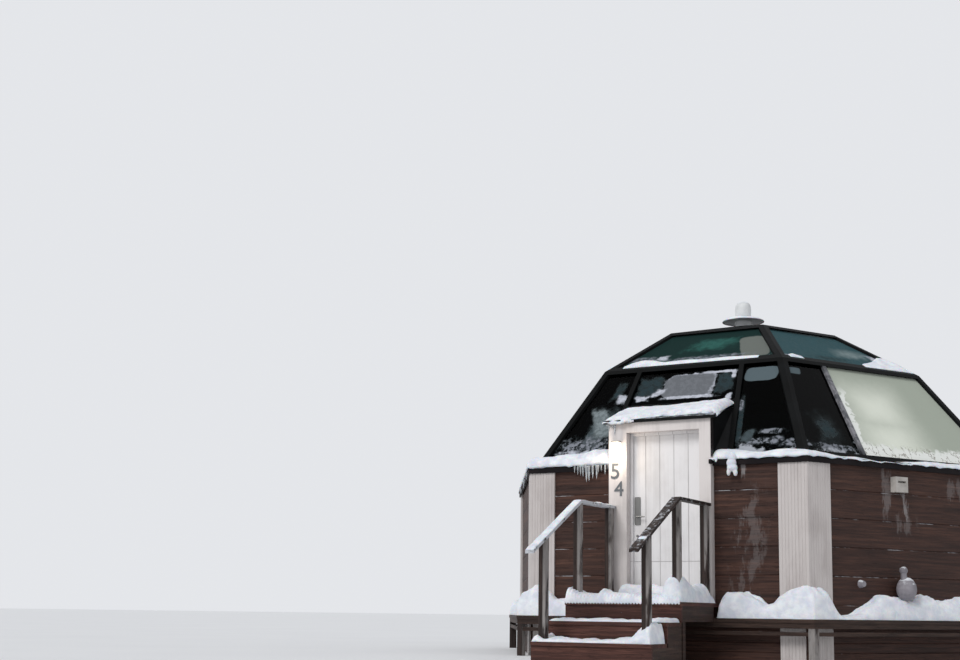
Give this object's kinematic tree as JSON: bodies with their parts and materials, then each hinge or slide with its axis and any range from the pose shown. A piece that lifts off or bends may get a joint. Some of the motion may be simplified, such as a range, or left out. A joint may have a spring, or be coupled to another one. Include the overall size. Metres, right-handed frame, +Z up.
{
  "type": "glass igloo cabin",
  "caption": "Hexagonal log cabin under a faceted glass dome, with a dormer door on a hinge, a timber porch with steps and handrails, and a roof vent.",
  "frame": {"origin": "on the ground, under the middle of the hexagon, on the foot of the centre pier", "axes": "+Z up, the door wall faces -Y, +X to the right of someone who faces the door"},
  "size_m": [8.132, 9.305, 5.3883],
  "materials": {
    "log_wood": "red-brown stained planed log, satin",
    "white_board": "off-white painted board, matt",
    "dark_timber": "dark brown stained timber",
    "floor_wood": "planed floor boards",
    "frame_black": "black powder-coated profile",
    "dome_glass": "insulated dome glazing",
    "panel_dark": "dark sheet panel",
    "fascia_dark": "dark eave flashing",
    "dormer_dark": "dark sheet cladding",
    "door_white": "white painted planked door, semi-matt",
    "steel": "brushed stainless steel",
    "vent_metal": "pale grey painted sheet",
    "lamp_opal": "opal lamp shade",
    "fitting_grey": "light grey plastic hood"
  },
  "bodies": {
    "cabin": {"right_front_wall": "log_wood", "back_walls": "log_wood", "left_front_wall": "log_wood", "front_wall_left": "log_wood", "front_wall_right": "log_wood", "front_wall_sill": "log_wood", "corner_boards": "white_board", "base_skirt": "log_wood", "base_ledge": "dark_timber", "base_posts": "dark_timber", "ledge_beams": "dark_timber", "floor_deck": "floor_wood", "floor_joists": "floor_wood", "wall_plate": "dark_timber", "eave_fascia": "fascia_dark", "foot_rail": "frame_black", "lower_ribs": "frame_black", "dome_rings": "frame_black", "upper_ribs": "frame_black", "crown_hub": "frame_black", "lower_mullions": "frame_black", "side_glass": "dome_glass", "front_glass": "dome_glass", "middle_glass": "dome_glass", "crown_panels": "panel_dark", "dormer_roof": "dormer_dark", "dormer_cheeks": "dormer_dark", "dormer_frame": "dark_timber", "door_casing": "white_board", "door_frame": "door_white", "threshold": "steel", "porch_deck": "dark_timber", "stair_treads": "dark_timber", "stair_risers": "dark_timber", "porch_frame": "dark_timber", "handrail_left": "dark_timber", "handrail_right": "dark_timber", "posts_left": "dark_timber", "posts_right": "dark_timber", "roof_vent": "vent_metal", "porch_lamp": "lamp_opal", "exhaust_box": "fitting_grey", "wall_fittings": "fitting_grey"},
    "door": {"door_leaf": "door_white", "door_hinges": "steel", "door_handle": "steel"}
  },
  "joints": [
    {"name": "door_hinge", "type": "hinge", "parent": "cabin", "child": "door", "pos_m": [0.526, -3.21122, 1.897], "axis": [0, 0, -1], "range_deg": [0, 100]}
  ]
}
